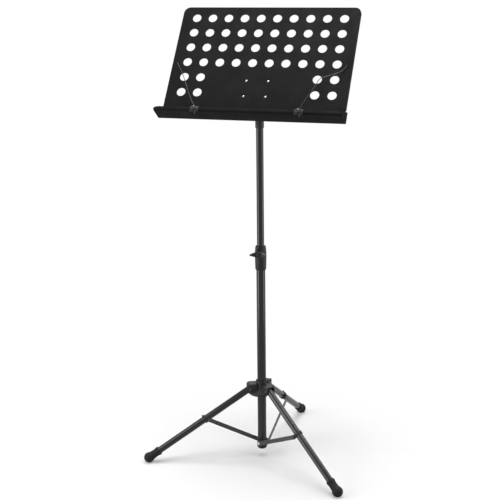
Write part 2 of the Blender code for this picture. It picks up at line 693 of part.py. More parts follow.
def make_bracket_screw(tilt, number, x, y, plate_back):
    """Raised-head screw through the panel, and the nut behind the bracket."""
    shank = 0.0020
    head_face = FACE + GAP
    end = plate_back - 0.0045
    profile = [(0.0, head_face + 0.0014), (0.0016, head_face + 0.0011), (0.0026, head_face + 0.0005),
               (0.0030, head_face), (shank, head_face), (shank, end), (0.0, end)]
    turned(f"bracket_screw_{number}", profile, tilt, LOOKS["zinc"], sides=SMALL, at=(x, y, 0))
    top = plate_back - GAP
    turned(f"bracket_nut_{number}", pipe_profile(0.0036, shank + GAP, top - 0.0030, top),
           tilt, LOOKS["zinc"], closed=True, sides=6, at=(x, y, 0))


def make_panel(tilt):
    """Perforated sheet with its edges turned back."""
    look = LOOKS["black_paint"]
    bottom = DESK_BOTTOM + SHEET + TRAY_BEND
    outline = [(-DESK_HALF, bottom), (DESK_HALF, bottom)]
    outline += arc((DESK_HALF - TOP_CORNER, DESK_TOP - TOP_CORNER), TOP_CORNER, 0, 90, 6)
    outline += arc((-DESK_HALF + TOP_CORNER, DESK_TOP - TOP_CORNER), TOP_CORNER, 90, 180, 6)
    screws = [circle(place, 0.0023, SMALL, 7.0 * i + 3.0) for i, place in enumerate(bracket_screws())]
    panel = plate("desk_panel", [outline] + panel_holes() + screws, SHEET, tilt, look,
                  at=(0, 0, FACE - SHEET / 2))
    flange_end = DESK_BOTTOM + TRAY_BACK + 0.0040
    rim = plate("turned_edge", [edge_outline(flange_end)], FLANGE, tilt, look,
                at=(0, 0, FACE - FLANGE / 2 - 0.0002))
    add(panel, as_tool(rim))


def edge_outline(low):
    """The turned-back edge seen from the front: up one side, over the top and down."""
    def side_and_top(inset):
        half, top, corner = DESK_HALF - inset, DESK_TOP - inset, TOP_CORNER - inset
        right = arc((half - corner, top - corner), corner, 0, 90, 6)
        left = arc((corner - half, top - corner), corner, 90, 180, 6)
        return [(half, low)] + right + left + [(-half, low)]
    return side_and_top(0.00005) + side_and_top(SHEET)[::-1]


def panel_holes():
    """The round holes. Each starts at its own angle, so no three corners line up."""
    holes = []
    for row in range(ALL_ROWS):
        for column in range(COLUMNS):
            from_side = min(column, COLUMNS - 1 - column)
            if row >= FULL_ROWS and from_side >= CORNER_COLUMNS:
                continue
            x = (column - (COLUMNS - 1) / 2) * HOLE_PITCH
            y = GRID_MID + ((ALL_ROWS - 1) / 2 - row) * ROW_PITCH
            start = 2.3 * column + 5.9 * row + 4.0
            holes.append(circle((x, y), HOLE_RADIUS, SMALL, start))
    return holes


def tray_section(lip_height, back_height):
    """The tray's outer face in the (Y, Z) plane: down the back, along the shelf, up the lip."""
    bend = TRAY_BEND + SHEET
    back = FACE - SHEET - GAP - SHEET
    front = FACE + TRAY_DEPTH
    low = DESK_BOTTOM
    first = [(low + back_height, back), (low + bend, back)]
    heel = [(y, z) for y, z in arc((low + bend, back + bend), bend, 270, 180, 5)][1:]
    toe = [(y, z) for y, z in arc((low + bend, front - bend), bend, 180, 90, 5)]
    return first + heel + toe + [(low + max(lip_height, bend + 0.0002), front)]


def make_tray(tilt):
    """One folded sheet: a flange behind the panel, the shelf, and a lip with round ends."""
    rounding = [1.0, 0.93, 0.75, 0.5, 0.25, 0.07, 0.0]
    stations = []
    for way in (-1, 1):
        for part in rounding:
            height = math.sqrt(max(0.0, 1 - part * part))
            stations.append((way * (TRAY_HALF - TRAY_END * (1 - part)), height))
    stations.sort()
    mesh = bpy.data.meshes.new("music_tray")
    points, faces = [], []
    for x, height in stations:
        lip = TRAY_BEND + SHEET + (TRAY_LIP - TRAY_BEND - SHEET) * height
        back = TRAY_BACK - 0.0040 * (1 - height)
        points += [(x, y, z) for y, z in tray_section(lip, back)]
    row = len(points) // len(stations)
    for i in range(len(stations) - 1):
        for j in range(row - 1):
            a, b = i * row + j, (i + 1) * row + j
            faces.append((a, a + 1, b + 1, b))
    mesh.from_pydata(points, [], faces)
    tray = add_piece("music_tray", mesh, tilt, LOOKS["black_paint"])
    thick = tray.modifiers.new("sheet", "SOLIDIFY")
    thick.thickness = SHEET
    thick.offset = 1.0
    thick.use_even_offset = True
    smooth(tray)


def make_holder(tilt, side, way):
    """Page holder: a clip over the lip and a wire arm that swings on its screw."""
    front = FACE + TRAY_DEPTH
    x, y = way * HOLDER_X, DESK_BOTTOM + HOLDER_UP
    make_holder_clip(tilt, side, x, y, front)
    eye = front + HOLDER_EYE
    make_holder_screw(tilt, side, x, y, front, eye)
    swing = frame(f"holder_axis_{side}", tilt, at=(x, y, 0))
    wire(f"holder_arm_{side}", holder_route(way, eye), WIRE_RADIUS, swing, LOOKS["wire"])


def make_holder_clip(tilt, side, x, y, front):
    """Saddle over the lip, with a face in front and a round boss for the wire."""
    look = LOOKS["black_plastic"]
    lip_top = DESK_BOTTOM + TRAY_LIP
    inside, outside = front - SHEET - GAP, front + GAP
    crown = lip_top + CLIP_WALL
    saddle = box_mesh((x - CLIP_HALF, lip_top - 0.0050, inside - CLIP_WALL),
                      (x + CLIP_HALF, crown, outside + CLIP_WALL))
    clip = add_piece(f"holder_clip_{side}", saddle, tilt, look)
    face_plate = box_mesh((x - CLIP_HALF + GAP, lip_top - CLIP_DROP, outside),
                          (x + CLIP_HALF - GAP, crown - GAP, outside + CLIP_WALL + 0.0004))
    add(clip, as_tool(add_piece(f"clip_face_{side}", face_plate, tilt, look)))
    boss = rod_mesh(CLIP_BOSS, (x, y, outside + 0.0010), (x, y, front + HOLDER_BOSS), MEDIUM)
    add(clip, as_tool(add_piece(f"clip_boss_{side}", boss, tilt, look)))
    mouth = box_mesh((x - 2 * CLIP_HALF, lip_top - 2 * CLIP_DROP, inside),
                     (x + 2 * CLIP_HALF, lip_top + GAP, outside))
    cut(clip, as_tool(add_piece(f"clip_mouth_{side}", mouth, tilt, look)))
    hole = rod_mesh(HOLDER_HOLE, (x, y, front), (x, y, front + 2 * CLIP_DROP), SMALL)
    cut(clip, as_tool(add_piece(f"clip_hole_{side}", hole, tilt, look)))


def make_holder_screw(tilt, side, x, y, front, eye):
    """Shouldered screw: the wire's eye runs on the shoulder, under a domed head."""
    shank, shoulder, head = HOLDER_HOLE - GAP, EYE_RADIUS - WIRE_RADIUS - GAP, CLIP_BOSS
    head_face = eye + EYE_RISE + WIRE_RADIUS + GAP
    step = front + HOLDER_BOSS + GAP
    profile = [(0.0, head_face + 0.0022), (0.6 * head, head_face + 0.0018),
               (0.97 * head, head_face + 0.0008), (head, head_face), (shoulder, head_face),
               (shoulder, step), (shank, step), (shank, front + GAP), (0.0, front + GAP)]
    turned(f"holder_screw_{side}", profile, tilt, LOOKS["zinc"], sides=SMALL, at=(x, y, 0))


def holder_route(way, eye):
    """Tail, one turn round the screw, out and up, then back to the panel and along it."""
    enters, leaves = 19.3, 360 - way * 23.6
    turn = arc((0, 0), EYE_RADIUS, enters, leaves, EYE_STEPS)
    rise = [EYE_RISE * (2 * i / EYE_STEPS - 1) for i in range(EYE_STEPS + 1)]
    route = [(*TAIL, eye - EYE_RISE)]
    route += [(x, y, eye + z) for (x, y), z in zip(turn, rise)]
    reach = [(0.0085, 0.0200, 0.0015), (0.0265, 0.0545, 0.0028), (0.0435, 0.0900, 0.0046),
             (0.0470, 0.0960, 0.0020), (0.0524, 0.1030, -0.0060), (0.0644, 0.1207, -0.0254),
             (0.0785, 0.1407, -0.0453), (0.0830, 0.1465, -0.0493), (0.0870, 0.1520, -0.0511),
             (0.0945, 0.1665, -0.0523)]
    return route + [(way * x, y, eye + z) for x, y, z in reach]


# ---------------------------------------------------------------- the stand

clear_scene()
PARTS = new_collection("music_stand")
TOOLS = new_collection("cutters")
LOOKS = make_looks()
STAND = frame("stand")

post_frame = frame("post", STAND, at=(POST_X, POST_Y, 0))
make_post(post_frame)
hub_slide = make_hub(post_frame)
for leg_side in LEG_SIDES:
    make_leg(hub_slide, leg_side)
    make_strut(post_frame, leg_side)
mast_slide = make_mast(post_frame)
head_swivel = make_head(mast_slide)
make_desk(head_swivel)
bpy.context.view_layer.update()
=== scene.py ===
"""Looks of an orchestra music stand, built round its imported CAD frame.

Metres, +Z up, music facing -Y. Sizes come from the CAD nodes' boxes where a box
holds them. The rest are the named values below.
"""

import json
import math

import bmesh
import bpy
from mathutils import Matrix, Vector

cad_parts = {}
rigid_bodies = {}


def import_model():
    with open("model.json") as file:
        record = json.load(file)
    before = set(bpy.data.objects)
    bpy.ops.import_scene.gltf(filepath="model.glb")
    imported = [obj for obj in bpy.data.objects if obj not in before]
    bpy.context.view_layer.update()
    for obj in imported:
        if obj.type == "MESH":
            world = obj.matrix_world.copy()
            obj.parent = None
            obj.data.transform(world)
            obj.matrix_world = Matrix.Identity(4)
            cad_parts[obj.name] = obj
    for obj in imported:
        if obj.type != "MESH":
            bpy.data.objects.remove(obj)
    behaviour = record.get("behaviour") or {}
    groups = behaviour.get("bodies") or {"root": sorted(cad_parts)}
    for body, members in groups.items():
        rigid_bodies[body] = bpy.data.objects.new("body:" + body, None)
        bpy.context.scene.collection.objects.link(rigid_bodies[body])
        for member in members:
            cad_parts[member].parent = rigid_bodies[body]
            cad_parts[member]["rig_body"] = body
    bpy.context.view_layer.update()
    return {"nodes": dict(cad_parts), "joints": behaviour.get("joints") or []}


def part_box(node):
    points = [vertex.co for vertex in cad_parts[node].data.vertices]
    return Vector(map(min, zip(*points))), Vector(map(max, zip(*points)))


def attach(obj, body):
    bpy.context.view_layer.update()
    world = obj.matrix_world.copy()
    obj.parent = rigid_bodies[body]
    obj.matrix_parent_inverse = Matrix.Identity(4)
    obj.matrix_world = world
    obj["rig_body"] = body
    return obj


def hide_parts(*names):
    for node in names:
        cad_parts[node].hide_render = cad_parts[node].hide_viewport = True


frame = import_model()

# ---------------------------------------------------------------- driving sizes

GAP = 0.0003
TUBE_WALL = 0.0012
LEG_SLOPE = math.radians(33.5)
LEG_RADIUS = 0.0095
FOOT_RADIUS = 0.0150
CLIP_REACH = 0.0040       # half length of the clip's band along the leg
STRUT_PLANE = -0.0160     # sideways from the leg's plane
STRUT_WIDTH = 0.0120
STRUT_THICK = 0.0020
STRUT_REACH = (0.1550, 0.0755)
RIVET_RADIUS = 0.0025
SCREW_RADIUS = 0.0030
SHEET = 0.0012
TOP_CORNER = 0.0180
FLANGE = 0.0090
HOLE_RADIUS = 0.0122
HOLE_PITCH = 0.0462
ROW_PITCH = 0.0466
GRID_MID = 0.1022         # up the desk from the tilt pivot
FULL_ROWS, ALL_ROWS, COLUMNS, CORNER_COLUMNS = 4, 6, 10, 2
TRAY_BEND = 0.0040
TRAY_END = 0.0180
TRAY_LIP = 0.0110
TRAY_BACK = 0.0377
TRAY_DEPTH = 0.0470
EYE_RADIUS = 0.0045
EYE_RISE = 0.0012
WIRE_RADIUS = 0.0010
HOLDER_EYE = 0.0075
HOLDER_BOSS = 0.0045
PIN_HEAD = (0.0045, 0.0018)      # radius and height of the struts' rivet heads
FORK_PIN_HEAD = (0.0044, 0.0017)
FORK_WIDTH = 0.0272
SIDES = ("left", "right", "rear")

ROUND = 64                # sides of a tube
SMALL_ROUND = 32

# ---------------------------------------------------------------- frame


def joint(name):
    """A joint of the frame, by name."""
    return next(j for j in frame["joints"] if j["name"] == name)


def placed(x, y, at):
    """A frame at a point, from its X and Y directions."""
    x, y = Vector(x).normalized(), Vector(y).normalized()
    turn = Matrix((x, y, x.cross(y))).transposed()
    return Matrix.Translation(at) @ turn.to_4x4()


def local_box(node, place):
    """A CAD node's lowest and highest corners in a frame of its own."""
    back = place.inverted()
    points = [back @ v.co for v in frame["nodes"][node].data.vertices]
    return ([min(p[i] for p in points) for i in range(3)],
            [max(p[i] for p in points) for i in range(3)])


tube_low, tube_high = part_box("lower_tube")
mast_low, mast_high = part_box("upper_tube")
LOWER_RADIUS = (tube_high.x - tube_low.x) / 2
UPPER_RADIUS = (mast_high.x - mast_low.x) / 2
POST = Vector(((tube_low.x + tube_high.x) / 2, (tube_low.y + tube_high.y) / 2, 0))
AT_POST = Matrix.Translation(POST)
HUB_Z = joint("leg_swing_left")["pos_m"][2]
STRUT_Z = joint("strut_swing_left")["pos_m"][2]
DESK_UP = Vector(joint("holder_swing_left")["axis"])
DESK = placed((1, 0, 0), DESK_UP.cross(Vector((1, 0, 0))), joint("desk_tilt")["pos_m"])


def spoke(side):
    """Outward and sideways directions of a leg."""
    across = Vector(joint(f"leg_swing_{side}")["axis"])
    return Vector((across.y, -across.x, 0)), across


def beside(side, height):
    """Upright frame on the post's axis, X towards a leg."""
    out, across = spoke(side)
    return placed(out, across, POST + Vector((0, 0, height)))


def along_leg(side):
    """Frame at a leg's pivot, X down the leg."""
    out, across = spoke(side)
    down = out * math.cos(LEG_SLOPE) - Vector((0, 0, math.sin(LEG_SLOPE)))
    return placed(down, across, joint(f"leg_swing_{side}")["pos_m"])


def along_strut(side):
    """Frame at a strut's pin, X up the strut."""
    out, across = spoke(side)
    rise = out * STRUT_REACH[0] + Vector((0, 0, STRUT_REACH[1]))
    return placed(rise, across, joint(f"strut_swing_{side}")["pos_m"])


def turned_by(axis, degrees):
    """A turn about one axis."""
    return Matrix.Rotation(math.radians(degrees), 4, axis)


# ---------------------------------------------------------------- materials


def surface(name, colour, roughness, grain, relief, metallic=0.0, specular=0.3,
            spread=0.10, edge_wear_and_highlight=1.6, stretch=(1, 1, 1)):
    """Paint, plastic, rubber or metal with fine grain, slow variation, and convex edges lightened as
    rubbed wear and a painted edge highlight.
    """
    made = bpy.data.materials.new(name)
    made.use_nodes = True
    tree = made.node_tree
    shader = tree.nodes["Principled BSDF"]
    shader.inputs["Metallic"].default_value = metallic
    shader.inputs["Specular IOR Level"].default_value = specular

    place = tree.nodes.new("ShaderNodeTexCoord")
    scaled = tree.nodes.new("ShaderNodeMapping")
    scaled.inputs["Scale"].default_value = stretch
    tree.links.new(place.outputs["Object"], scaled.inputs["Vector"])

    fine = tree.nodes.new("ShaderNodeTexNoise")
    fine.inputs["Scale"].default_value = grain
    fine.inputs["Detail"].default_value = 4.0
    tree.links.new(scaled.outputs["Vector"], fine.inputs["Vector"])
    broad = tree.nodes.new("ShaderNodeTexNoise")
    broad.inputs["Scale"].default_value = 22.0
    broad.inputs["Detail"].default_value = 5.0
    tree.links.new(place.outputs["Object"], broad.inputs["Vector"])

    bump = tree.nodes.new("ShaderNodeBump")
    bump.inputs["Strength"].default_value = 0.6
    bump.inputs["Distance"].default_value = relief
    tree.links.new(fine.outputs["Fac"], bump.inputs["Height"])
    tree.links.new(bump.outputs["Normal"], shader.inputs["Normal"])

    rough = tree.nodes.new("ShaderNodeMapRange")
    rough.inputs["From Min"].default_value = 0.3
    rough.inputs["From Max"].default_value = 0.7
    rough.inputs["To Min"].default_value = roughness - spread
    rough.inputs["To Max"].default_value = roughness + spread
    tree.links.new(broad.outputs["Fac"], rough.inputs["Value"])
    tree.links.new(rough.outputs["Result"], shader.inputs["Roughness"])

    tint = tree.nodes.new("ShaderNodeMix")
    tint.data_type = "RGBA"
    tint.inputs["A"].default_value = (*[c * 0.82 for c in colour], 1)
    tint.inputs["B"].default_value = (*[min(1, c * 1.22) for c in colour], 1)
    speckle = tree.nodes.new("ShaderNodeMath")
    speckle.operation = "ADD"
    half = tree.nodes.new("ShaderNodeMath")
    half.operation = "MULTIPLY"
    half.inputs[1].default_value = 0.5
    tree.links.new(fine.outputs["Fac"], speckle.inputs[0])
    tree.links.new(broad.outputs["Fac"], speckle.inputs[1])
    tree.links.new(speckle.outputs["Value"], half.inputs[0])
    tree.links.new(half.outputs["Value"], tint.inputs["Factor"])

    # Convex edges are lightened by pointiness: part rubbed paint wear, part a painted highlight along
    # the edges.
    geometry = tree.nodes.new("ShaderNodeNewGeometry")
    rim = tree.nodes.new("ShaderNodeMapRange")
    rim.inputs["From Min"].default_value = 0.53
    rim.inputs["From Max"].default_value = 0.62
    tree.links.new(geometry.outputs["Pointiness"], rim.inputs["Value"])
    edges = tree.nodes.new("ShaderNodeMix")
    edges.data_type = "RGBA"
    edges.inputs["B"].default_value = (*[min(1, c * edge_wear_and_highlight) for c in colour], 1)
    tree.links.new(rim.outputs["Result"], edges.inputs["Factor"])
    tree.links.new(tint.outputs["Result"], edges.inputs["A"])
    tree.links.new(edges.outputs["Result"], shader.inputs["Base Color"])
    return made


# Each look's edge factor lightens convex edges as rubbed wear plus a painted edge highlight, strongest
# on the black paint's lip and sheet edges.
LOOKS = {
    "black_paint": surface("powder_black", (0.0057, 0.0057, 0.0059), 0.66, 1500, 0.00006,
                           specular=0.08, edge_wear_and_highlight=3.0),
    "black_tube": surface("tube_black", (0.0066, 0.0066, 0.0070), 0.15, 700, 0.00001,
                          specular=0.40, spread=0.04),
    "black_plastic": surface("moulded_black", (0.0085, 0.0085, 0.0088), 0.46, 1100, 0.00005,
                             specular=0.30, edge_wear_and_highlight=2.2),
    "rubber": surface("rubber_black", (0.0090, 0.0090, 0.0090), 0.68, 800, 0.00008,
                      specular=0.2, spread=0.14, edge_wear_and_highlight=1.8),
    "zinc": surface("zinc_plate", (0.50, 0.50, 0.51), 0.30, 900, 0.00002, metallic=1.0,
                    specular=0.5, edge_wear_and_highlight=1.2),
    "dark_zinc": surface("zinc_blackened", (0.045, 0.045, 0.047), 0.36, 900, 0.00002, metallic=0.5,
                         specular=0.4, edge_wear_and_highlight=1.4),
    "brass": surface("brass", (0.60, 0.46, 0.22), 0.34, 900, 0.00002, metallic=1.0, edge_wear_and_highlight=1.2),
    "wire": surface("wire_black", (0.022, 0.022, 0.023), 0.38, 600, 0.00001, specular=0.35),
    "strut_steel": surface("strut_paint", (0.020, 0.020, 0.021), 0.30, 900, 0.00002,
                           metallic=0.1, specular=0.6, stretch=(1, 1, 6)),
}

# ---------------------------------------------------------------- mesh helpers


def arc(centre, radius, start, end, steps):
    """Points along an arc, its angles in degrees."""
    angles = [math.radians(start + (end - start) * i / steps) for i in range(steps + 1)]
    return [(centre[0] + radius * math.cos(a), centre[1] + radius * math.sin(a))
            for a in angles]


def circle(centre, radius, sides):
    """Points round a circle."""
    return arc(centre, radius, 0, 360.0 - 360.0 / sides, sides - 1)


def mesh_of(bm):
    """Closes a bmesh into a mesh whose faces point outwards."""
    bmesh.ops.recalc_face_normals(bm, faces=bm.faces)
    mesh = bpy.data.meshes.new("shape")
    bm.to_mesh(mesh)
    bm.free()
    return mesh


def lathe(profile, closed=False, sides=ROUND):
    """A shape turned about Z, from (radius, height) pairs."""
    bm = bmesh.new()
    rings = []
    for radius, height in profile:
        spots = circle((0, 0), radius, sides) if radius > 0 else [(0, 0)]
        rings.append([bm.verts.new((x, y, height)) for x, y in spots])
    pairs = list(zip(rings, rings[1:]))
    if closed:
        pairs.append((rings[-1], rings[0]))
    for upper, lower in pairs:
        for i in range(sides):
            j = (i + 1) % sides
            corners = [upper[i % len(upper)], lower[i % len(lower)],
                       lower[j % len(lower)], upper[j % len(upper)]]
            bm.faces.new(list(dict.fromkeys(corners)))
    return mesh_of(bm)


def prism(outline, thickness):
    """A flat piece in the XY plane, centred on it."""
    bm = bmesh.new()
    low = [bm.verts.new((x, y, -thickness / 2)) for x, y in outline]
    high = [bm.verts.new((x, y, thickness / 2)) for x, y in outline]
    bm.faces.new(low[::-1])
    bm.faces.new(high)
    for i in range(len(outline)):
        j = (i + 1) % len(outline)
        bm.faces.new((low[i], low[j], high[j], high[i]))
    return mesh_of(bm)


def block(low, high):
    """A box between two corners."""
    size = [b - a for a, b in zip(low, high)]
    middle = [(a + b) / 2 for a, b in zip(low, high)]
    bm = bmesh.new()
    place = Matrix.Translation(middle) @ Matrix.Diagonal((*size, 1.0))
    bmesh.ops.create_cube(bm, size=1.0, matrix=place)
    return mesh_of(bm)


def rod(radius, start, end, sides=SMALL_ROUND):
    """A round bar between two points."""
    start, end = Vector(start), Vector(end)
    aim = (end - start).to_track_quat("Z", "Y").to_matrix().to_4x4()
    bm = bmesh.new()
    bmesh.ops.create_cone(bm, cap_ends=True, segments=sides, radius1=radius, radius2=radius,
                          depth=(end - start).length,
                          matrix=Matrix.Translation((start + end) / 2) @ aim)
    return mesh_of(bm)


def moved(mesh, place):
    """The same mesh, put in place."""
    mesh.transform(place)
    return mesh


def carve(mesh, adds=(), cuts=(), edge=0.0, segments=2, limit=38):
    """Joins and cuts shapes, then rounds the sharp edges, and returns the finished mesh."""
    temps = [bpy.data.objects.new("temp", m) for m in (mesh, *adds, *cuts)]
    for temp in temps:
        bpy.context.scene.collection.objects.link(temp)
    base = temps[0]
    for number, tool in enumerate(temps[1:]):
        step = base.modifiers.new("join", "BOOLEAN")
        step.operation = "UNION" if number < len(adds) else "DIFFERENCE"
        step.solver = "EXACT"
        step.object = tool
    if edge:
        bevel = base.modifiers.new("edge", "BEVEL")
        bevel.width, bevel.segments = edge, segments
        bevel.limit_method, bevel.angle_limit = "ANGLE", math.radians(limit)
        bevel.use_clamp_overlap = True
    bpy.context.view_layer.update()
    seen = base.evaluated_get(bpy.context.evaluated_depsgraph_get())
    done = bpy.data.meshes.new_from_object(seen)
    for temp in temps:
        bpy.data.objects.remove(temp, do_unlink=True)
    return done


def add_piece(name, mesh, slot, nodes, place=None, sharp=42, look=None):
    """Puts a finished mesh in place, on the body of the CAD nodes it stands for."""
    if place is not None:
        mesh.transform(place)
    mesh.materials.clear()
    mesh.materials.append(LOOKS[look or slot])
    mesh.shade_smooth()
    mesh.set_sharp_from_angle(angle=math.radians(sharp))
    piece = bpy.data.objects.new(name, mesh)
    bpy.context.scene.collection.objects.link(piece)
    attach(piece, frame["nodes"][nodes[0]]["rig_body"])
    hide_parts(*nodes)


def tube_profile(outer, inner, low, high, lip=0.0003):
    """A tube's wall with its four rims eased."""
    return [(outer, high - lip), (outer, low + lip), (outer - lip, low), (inner + lip, low),
            (inner, low + lip), (inner, high - lip), (inner + lip, high), (outer - lip, high)]


def domed_head(radius, height, steps=7):
    """The upper half of a round screw or rivet head, from the middle outwards."""
    share = [i / steps for i in range(steps + 1)]
    return [(radius * math.sin(s * math.pi / 2), height * math.cos(s * math.pi / 2))
            for s in share]


# ---------------------------------------------------------------- post


def build_post():
    """Lower tube and the mast that slides in it."""
    low, high = tube_low.z, tube_high.z
    add_piece("post_tube", lathe(tube_profile(LOWER_RADIUS, LOWER_RADIUS - TUBE_WALL, low, high), True),
              "black_tube", ["lower_tube"], AT_POST)
    low, high = mast_low.z, mast_high.z
    add_piece("mast_tube", lathe(tube_profile(UPPER_RADIUS, UPPER_RADIUS - TUBE_WALL, low, high), True),
              "black_tube", ["upper_tube"], AT_POST)


def build_base():
    """Cup on the foot of the post, with a pad and a pin for each strut."""
    low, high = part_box("base_bracket")[0].z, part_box("base_bracket")[1].z
    rim, dome = 0.0145, 0.0080
    pad_half, pad_rise, pad_inner, pin_depth = 0.0070, 0.0080, -0.0080, -0.0030
    profile = [(0.0, high), (rim, high)]
    profile += [(rim - dome + x, low + dome + z) for x, z in arc((0, 0), dome, 0, -90, 10)]
    profile.append((0.0, low))
    face = STRUT_PLANE + STRUT_THICK / 2 + GAP
    pads = []
    for side in SIDES:
        pivot = local_box(f"base_pin_{side}", beside(side, 0))
        x = (pivot[0][0] + pivot[1][0]) / 2
        pad = block((x - pad_half, face, STRUT_Z - pad_rise),
                    (x + pad_half, pad_inner, STRUT_Z + pad_rise))
        pads.append(moved(pad, beside(side, 0)))
        outside = STRUT_PLANE - STRUT_THICK / 2 - GAP
        head = domed_head(*PIN_HEAD)
        head += [(RIVET_RADIUS, 0.0), (RIVET_RADIUS, pin_depth), (0, pin_depth)]
        at = beside(side, STRUT_Z) @ Matrix.Translation((x, outside, 0)) @ turned_by("X", 90)
        add_piece(f"strut_pin_{side}", lathe(head, sides=SMALL_ROUND), "zinc", [f"base_pin_{side}"], at)
    cup = moved(lathe(profile), AT_POST)
    bore = moved(rod(LOWER_RADIUS + GAP, (0, 0, tube_low.z), (0, 0, high + 0.01), ROUND), AT_POST)
    add_piece("base_cup", carve(cup, pads, [bore], edge=0.0009, segments=3),
              "black_plastic", ["base_bracket"])


def wing_knob(tip, seat, boss_length, reach, sweep, root, thick=0.0042):
    """Clamp screw with two tapered wings. Its axis is Z."""
    boss, radius = seat + boss_length, root * 0.82
    body = lathe([(0.0, boss), (radius * 0.7, boss), (radius * 0.93, boss - 0.0006),
                  (radius, boss - 0.0018), (radius, seat), (SCREW_RADIUS, seat),
                  (SCREW_RADIUS, tip), (0.0, tip)], sides=SMALL_ROUND)
    end, shoulder, rise = 0.0022, 0.004, 0.005
    outline = [(0.0, -root), (0.0, root), (shoulder, root), (reach - end, end)]
    outline += arc((reach - end, 0), end, 60, -60, 6) + [(reach - end, -end), (shoulder, -root)]
    wings = []
    for half_turn in (0, 180):
        lean = turned_by("Z", half_turn) @ turned_by("Y", -sweep)
        wings.append(moved(prism(outline, thick), Matrix.Translation((0, 0, seat + rise)) @ lean))
    return carve(body, wings, edge=0.0007, segments=3)


def build_collar():
    """Height clamp: a sleeve whose front is cut into a block for the winged screw."""
    low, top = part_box("height_collar")[0].z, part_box("height_collar")[1].z
    screw = joint("collar_knob_turn")
    forward = Vector(screw["axis"])
    screw_z = screw["pos_m"][2]
    facing = placed((-forward.y, forward.x, 0), -forward, POST)     # Y runs back into the post
    sleeve = [(0.0, top), (0.0130, top), (0.0142, top - 0.0012), (0.0149, top - 0.0050),
              (0.0154, top - 0.0110), (0.0159, top - 0.0190), (0.0161, top - 0.0280),
              (0.0159, top - 0.0420), (0.0154, low + 0.0050), (0.0150, low + 0.0018),
              (0.0138, low), (0.0, low)]
    face, inner, beyond = -0.0195, -0.0080, 0.0300
    half, below, above = 0.0062, 0.0130, 0.0135
    slit_half, slit_rise, screw_bore, past = 0.0008, 0.0040, 0.0055, 0.01
    front = block((-half, face, screw_z - below), (half, inner, screw_z + above))
    slit = block((-slit_half, -beyond, screw_z + slit_rise), (slit_half, -0.0050, top + past))
    hole = rod(screw_bore, (0, -0.0060, screw_z), (0, -beyond, screw_z))
    wide = rod(LOWER_RADIUS + GAP, (0, 0, low - past), (0, 0, tube_high.z + GAP), ROUND)
    tight = rod(UPPER_RADIUS + GAP, (0, 0, tube_high.z - 0.001), (0, 0, top + past), ROUND)
    body = carve(lathe(sleeve), [front], [slit, hole, wide, tight], edge=0.0006)
    add_piece("clamp_collar", body, "black_plastic", ["height_collar"], facing)

    outward = placed((-forward.y, forward.x, 0), (0, 0, 1), POST + Vector((0, 0, screw_z)))
    if (outward.to_3x3() @ Vector((0, 0, 1))).dot(forward) < 0:
        outward = outward @ turned_by("Y", 180)
    knob = wing_knob(tip=UPPER_RADIUS + GAP, seat=0.0198, boss_length=0.0130, reach=0.0265,
                     sweep=28, root=0.0090)
    add_piece("clamp_knob", knob, "black_plastic", ["collar_knob"], outward)


# ---------------------------------------------------------------- tripod


def build_hub():
    """Sliding hub: sleeve, round skirt, three forks and its clamp knob."""
    hub_low, hub_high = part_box("leg_hub")
    bore, sleeve, top, low = LOWER_RADIUS + GAP, 0.0168, hub_high.z - HUB_Z, hub_low.z - HUB_Z
    skirt = [(0.0300, low + 0.0110), (0.0355, low + 0.0078), (0.0370, low + 0.0060),
             (0.0375, low + 0.0042), (0.0369, low + 0.0012)]
    profile = [(0.0, top), (sleeve - 0.0015, top), (sleeve - 0.0003, top - 0.0012),
               (sleeve, low + 0.0172), *skirt, (0.0330, low), (0.0, low)]
    root, nose, round_end = 0.0145, 0.0345, 0.0080
    under, lower, upper = -0.0120, -0.0040, 0.0085
    arm = [(root, under), (nose, under)]
    arm += arc((nose, lower), round_end, -60, 0, 6) + arc((nose, upper), round_end, 0, 90, 8)
    arm.append((root, upper + round_end))
    slot_low, slot_high = (0.0190, -0.0101, -0.0400), (0.0700, 0.0101, 0.0114)
    at_hub = Matrix.Translation(POST + Vector((0, 0, HUB_Z)))
    forks, slots = [], []
    for side in SIDES:
        around = beside(side, HUB_Z)
        forks.append(moved(prism(arm, FORK_WIDTH), around @ turned_by("X", 90)))
        slots.append(moved(block(slot_low, slot_high), around))
        pin = domed_head(*FORK_PIN_HEAD)
        half = FORK_WIDTH / 2 + GAP
        rivet = [(r, half + z) for r, z in pin] + [(RIVET_RADIUS, half), (RIVET_RADIUS, -half)]
        rivet += [(r, -half - z) for r, z in pin[::-1]]
        pivot = Matrix.Translation(joint(f"leg_swing_{side}")["pos_m"]) @ around.to_3x3().to_4x4()
        add_piece(f"fork_pin_{side}", lathe(rivet, sides=SMALL_ROUND), "zinc", [f"leg_pin_{side}"],
                  pivot @ turned_by("X", 90), look="dark_zinc")
    screw = joint("hub_knob_turn")
    out = Vector(screw["axis"])
    lock = placed(out, Vector((-out.y, out.x, 0)), screw["pos_m"])
    boss_radius, boss_start, boss_end = 0.0058, 0.0130, 0.0190
    boss = moved(rod(boss_radius, (boss_start, 0, 0), (boss_end, 0, 0)), lock)
    hole = moved(rod(bore, (0, 0, low - 0.01), (0, 0, top + 0.01), ROUND), at_hub)
    body = carve(moved(lathe(profile), at_hub), [*forks, boss], [*slots, hole], edge=0.0007)
    add_piece("tripod_hub", body, "black_plastic", ["leg_hub"])
    knob = wing_knob(tip=LOWER_RADIUS + GAP, seat=0.0193, boss_length=0.0050, reach=0.0085,
                     sweep=20, root=0.0042, thick=0.0030)
    add_piece("tripod_knob", knob, "black_plastic", ["hub_knob"], lock @ turned_by("Y", 90))


